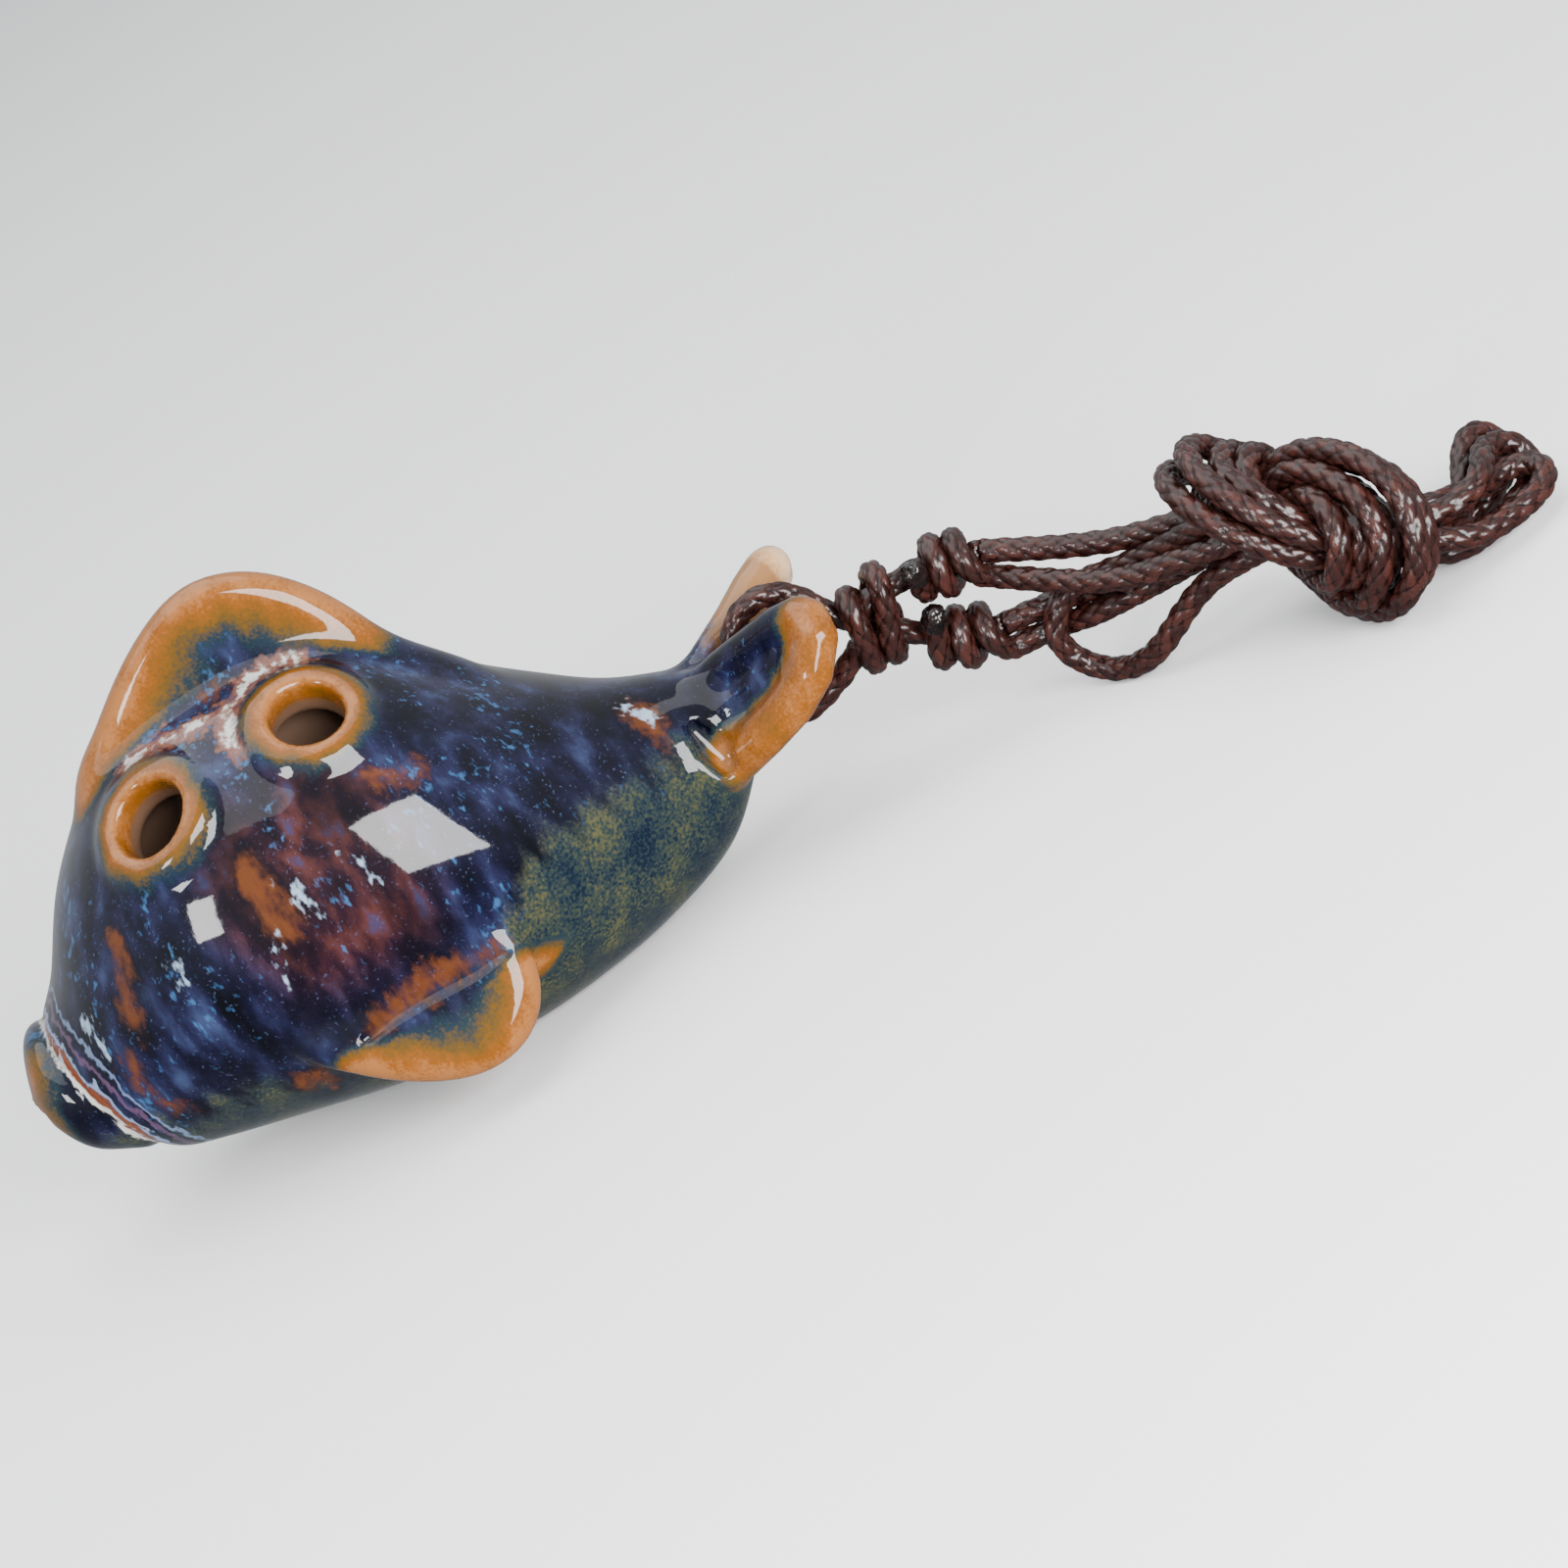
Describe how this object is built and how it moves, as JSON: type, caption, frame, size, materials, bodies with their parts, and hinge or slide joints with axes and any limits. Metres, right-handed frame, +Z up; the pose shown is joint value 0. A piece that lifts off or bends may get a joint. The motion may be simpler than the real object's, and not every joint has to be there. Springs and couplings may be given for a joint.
{
  "type": "ocarina",
  "caption": "Dolphin-shaped glazed ceramic ocarina blown through its beak, with finger holes beside the dorsal fin and a knotted braided cord lanyard through an eye between the tail flukes.",
  "frame": {"origin": "bottom centre of the ceramic body's bounding box, on the plane that the belly's flat foot stands on", "axes": "+X from beak to tail, +Y to the dolphin's right, +Z up towards the dorsal fin"},
  "size_m": [0.1903, 0.0742, 0.0652],
  "materials": {
    "glaze": "glossy floating blue glaze breaking to amber on edges",
    "cord": "dark brown waxed braid"
  },
  "bodies": {
    "root": {"back_shell": "glaze", "belly_shell": "glaze", "beak_roof": "glaze", "beak_floor": "glaze", "tail_stock": "glaze", "front_left_collar": "glaze", "front_right_collar": "glaze", "rear_left_collar": "glaze", "rear_right_collar": "glaze", "dorsal_fin": "glaze", "left_pectoral_fin": "glaze", "right_pectoral_fin": "glaze", "left_fluke": "glaze", "right_fluke": "glaze", "lanyard_loop_knot": "cord", "lanyard_upper_slide_knot": "cord", "lanyard_lower_slide_knot": "cord", "lanyard_overhand_knot": "cord", "lanyard_tail_loop": "cord", "lanyard_strands": "cord", "lanyard_end_bights": "cord"}
  },
  "joints": []
}
